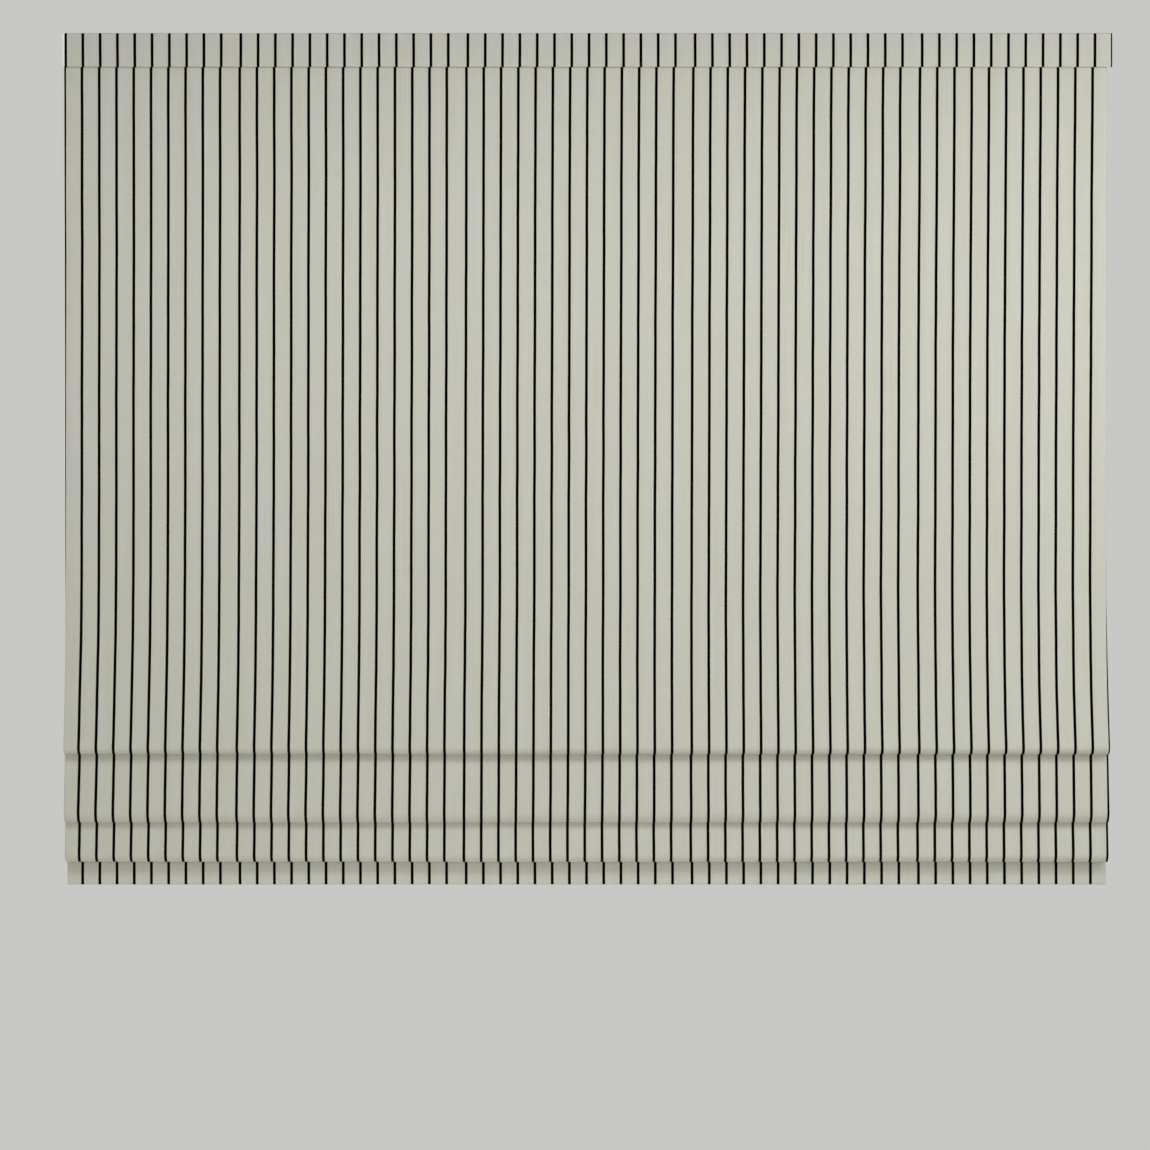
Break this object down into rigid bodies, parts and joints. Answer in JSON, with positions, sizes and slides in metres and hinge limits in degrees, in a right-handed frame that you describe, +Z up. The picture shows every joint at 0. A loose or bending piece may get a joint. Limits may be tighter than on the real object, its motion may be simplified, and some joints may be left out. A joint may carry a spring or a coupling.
{
  "type": "roman shade",
  "caption": "Flat Roman shade of striped cloth with cascading folds, a cloth-wrapped head band and a cordless spring-lift head rail on wall brackets.",
  "frame": {"origin": "middle of the centre bracket's pair of screw holes, on the wall plane", "axes": "+X across the width, +Y from the room into the wall, +Z up; the striped front faces -Y"},
  "size_m": [1.524, 0.0764, 1.238],
  "materials": {
    "striped_cloth": "plain-woven warm grey cloth with fine black stripes",
    "lining_cloth": "plain white lining",
    "tape": "white hook-and-loop tape",
    "cord": "white braided cord",
    "white_board": "white foamed board",
    "rail_paint": "white powder coat on aluminium",
    "bracket_steel": "zinc-plated sheet",
    "white_plastic": "white moulded plastic",
    "motor_plastic": "dark grey moulded plastic",
    "spring_steel": "bright steel",
    "rod_glassfibre": "ivory glass-fibre rod",
    "bar_steel": "grey painted steel flat"
  },
  "bodies": {
    "head": {"bracket_left": "bracket_steel", "bracket_centre": "bracket_steel", "bracket_right": "bracket_steel", "headrail": "rail_paint", "rail_cap_left": "white_plastic", "rail_cap_right": "white_plastic", "hook_tape": "tape", "loop_tape": "tape", "valance_clips": "white_plastic", "valance_board": "white_board", "valance_fabric": "striped_cloth", "motor_housing": "motor_plastic", "motor_cover": "motor_plastic", "spring_band": "spring_steel", "drum_pin": "spring_steel", "cradle_1": "white_plastic", "cradle_2": "white_plastic", "cradle_3": "white_plastic", "cradle_4": "white_plastic", "cord_1": "cord", "cord_2": "cord", "cord_3": "cord", "cord_4": "cord", "face_fabric": "striped_cloth", "lining": "lining_cloth"},
    "lift_line": {"lift_shaft": "spring_steel", "output_drum": "white_plastic", "spool_1": "white_plastic", "spool_2": "white_plastic", "spool_3": "white_plastic", "spool_4": "white_plastic"},
    "storage": {"storage_drum": "white_plastic"},
    "bottom": {"bottom_bar": "bar_steel", "bar_cap_left": "white_plastic", "bar_cap_right": "white_plastic"},
    "rib_1": {"rod_1": "rod_glassfibre", "eyelets_1": "white_plastic"},
    "rib_2": {"rod_2": "rod_glassfibre", "eyelets_2": "white_plastic"},
    "rib_3": {"rod_3": "rod_glassfibre", "eyelets_3": "white_plastic"},
    "rib_4": {"rod_4": "rod_glassfibre", "eyelets_4": "white_plastic"},
    "rib_5": {"rod_5": "rod_glassfibre", "eyelets_5": "white_plastic"},
    "rib_6": {"rod_6": "rod_glassfibre", "eyelets_6": "white_plastic", "cord_beads": "white_plastic"}
  },
  "joints": [
    {"name": "lift", "type": "slide", "parent": "head", "child": "bottom", "axis": [0, 0, 1], "range_m": [-0.75, 0.82], "deforming": ["face_fabric", "lining", "cord_1", "cord_2", "cord_3", "cord_4"]},
    {"name": "rib_1_lift", "type": "slide", "parent": "head", "child": "rib_1", "axis": [0, 0, 1], "range_m": [-0.1309, 0.143]},
    {"name": "rib_2_lift", "type": "slide", "parent": "head", "child": "rib_2", "axis": [0, 0, 1], "range_m": [-0.3345, 0.3655]},
    {"name": "rib_3_lift", "type": "slide", "parent": "head", "child": "rib_3", "axis": [0, 0, 1], "range_m": [-0.5514, 0.6027]},
    {"name": "rib_4_lift", "type": "slide", "parent": "head", "child": "rib_4", "axis": [0, 0, 1], "range_m": [-0.665, 0.7269]},
    {"name": "rib_5_lift", "type": "slide", "parent": "head", "child": "rib_5", "axis": [0, 0, 1], "range_m": [-0.672, 0.7345]},
    {"name": "rib_6_lift", "type": "slide", "parent": "head", "child": "rib_6", "axis": [0, 0, 1], "range_m": [-0.6786, 0.7418]},
    {"name": "lift_line_turn", "type": "hinge", "parent": "head", "child": "lift_line", "pos_m": [0, -0.025, 0], "axis": [1, 0, 0], "range_deg": [-5878, 5376]},
    {"name": "storage_turn", "type": "hinge", "parent": "head", "child": "storage", "pos_m": [-0.44, -0.0415, 0], "axis": [1, 0, 0], "range_deg": [-5878, 5376]}
  ],
  "couplings": [
    {"joint": "rib_1_lift", "follows": "lift", "ratio": 0.1719},
    {"joint": "rib_2_lift", "follows": "lift", "ratio": 0.4433},
    {"joint": "rib_3_lift", "follows": "lift", "ratio": 0.7325},
    {"joint": "rib_4_lift", "follows": "lift", "ratio": 0.884},
    {"joint": "rib_5_lift", "follows": "lift", "ratio": 0.8933},
    {"joint": "rib_6_lift", "follows": "lift", "ratio": 0.9022},
    {"joint": "lift_line_turn", "follows": "lift", "rad_per_m": -125},
    {"joint": "storage_turn", "follows": "lift", "rad_per_m": -125}
  ]
}
